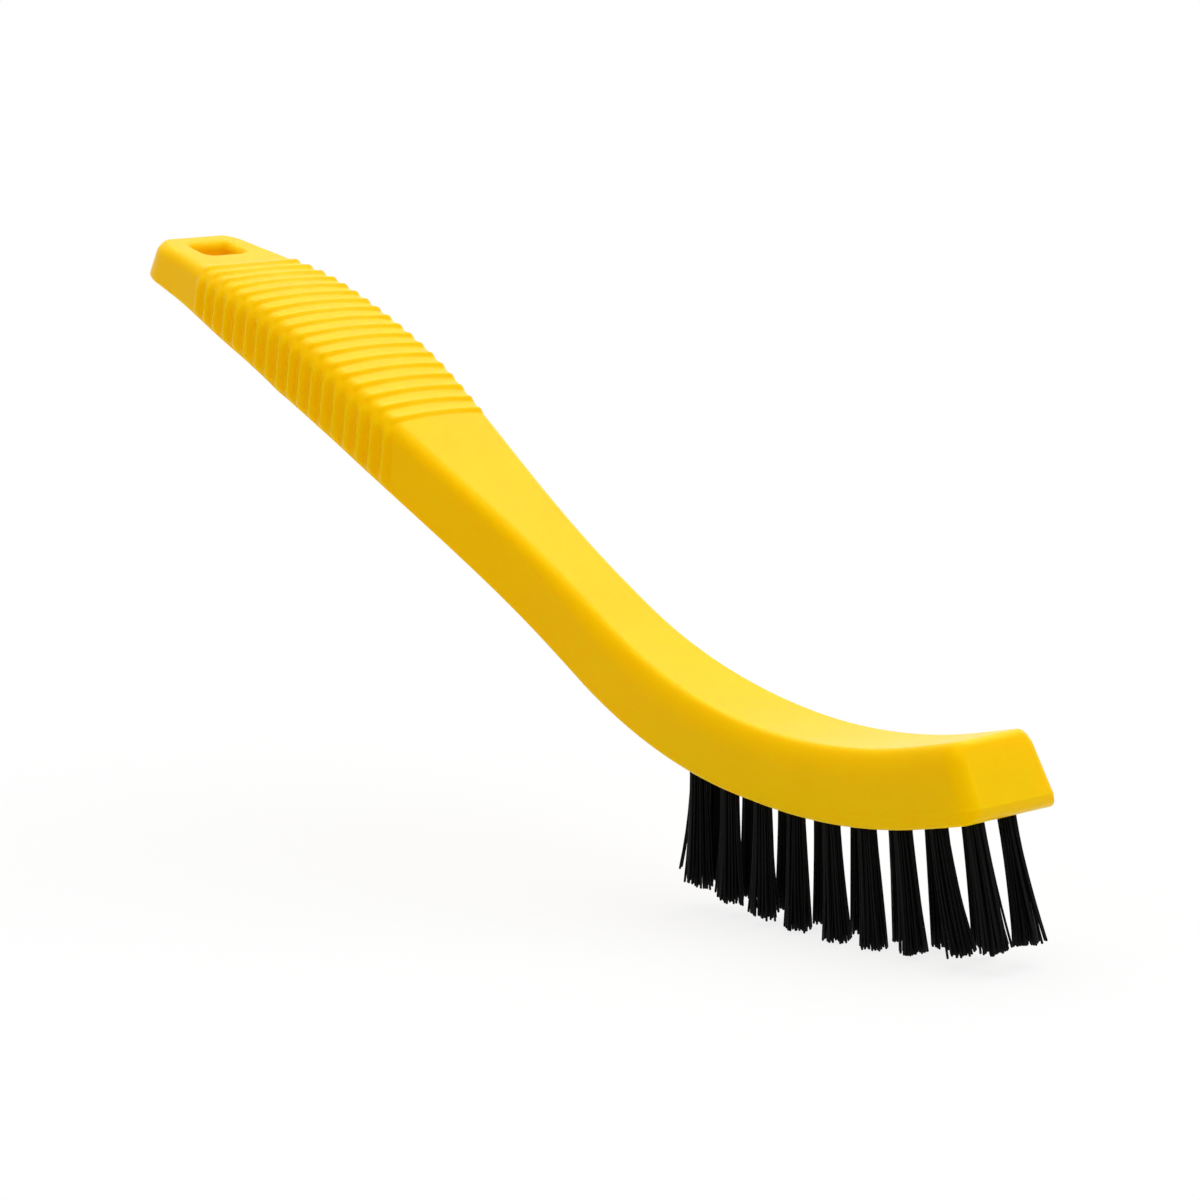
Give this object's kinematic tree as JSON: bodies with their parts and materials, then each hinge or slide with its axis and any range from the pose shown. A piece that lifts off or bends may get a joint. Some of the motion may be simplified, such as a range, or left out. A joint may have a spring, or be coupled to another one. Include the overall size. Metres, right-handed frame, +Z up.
{
  "type": "grout brush",
  "caption": "Hand brush for scrubbing grout lines: curved moulded handle with a ribbed grip and hanging hole, and rows of stiff anchored bristle tufts under a curved head.",
  "frame": {"origin": "under the middle of the brush, on the surface that the bristle tips stand on", "axes": "+X from the hanging end to the nose, +Z up from the bristle tips, +Y across to the brush's left"},
  "size_m": [0.2048, 0.029, 0.1086],
  "materials": {
    "handle": "moulded, satin gloss",
    "bristle": "stiff drawn filament",
    "anchor_wire": "drawn flat wire"
  },
  "bodies": {
    "root": {"handle": "handle", "tuft_right_1": "bristle", "tuft_right_2": "bristle", "tuft_right_3": "bristle", "tuft_right_4": "bristle", "tuft_right_5": "bristle", "tuft_right_6": "bristle", "tuft_right_7": "bristle", "tuft_right_8": "bristle", "tuft_right_9": "bristle", "tuft_left_1": "bristle", "tuft_left_2": "bristle", "tuft_left_3": "bristle", "tuft_left_4": "bristle", "tuft_left_5": "bristle", "tuft_left_6": "bristle", "tuft_left_7": "bristle", "tuft_left_8": "bristle", "tuft_left_9": "bristle", "anchor_right_1": "anchor_wire", "anchor_right_2": "anchor_wire", "anchor_right_3": "anchor_wire", "anchor_right_4": "anchor_wire", "anchor_right_5": "anchor_wire", "anchor_right_6": "anchor_wire", "anchor_right_7": "anchor_wire", "anchor_right_8": "anchor_wire", "anchor_right_9": "anchor_wire", "anchor_left_1": "anchor_wire", "anchor_left_2": "anchor_wire", "anchor_left_3": "anchor_wire", "anchor_left_4": "anchor_wire", "anchor_left_5": "anchor_wire", "anchor_left_6": "anchor_wire", "anchor_left_7": "anchor_wire", "anchor_left_8": "anchor_wire", "anchor_left_9": "anchor_wire"}
  },
  "joints": []
}
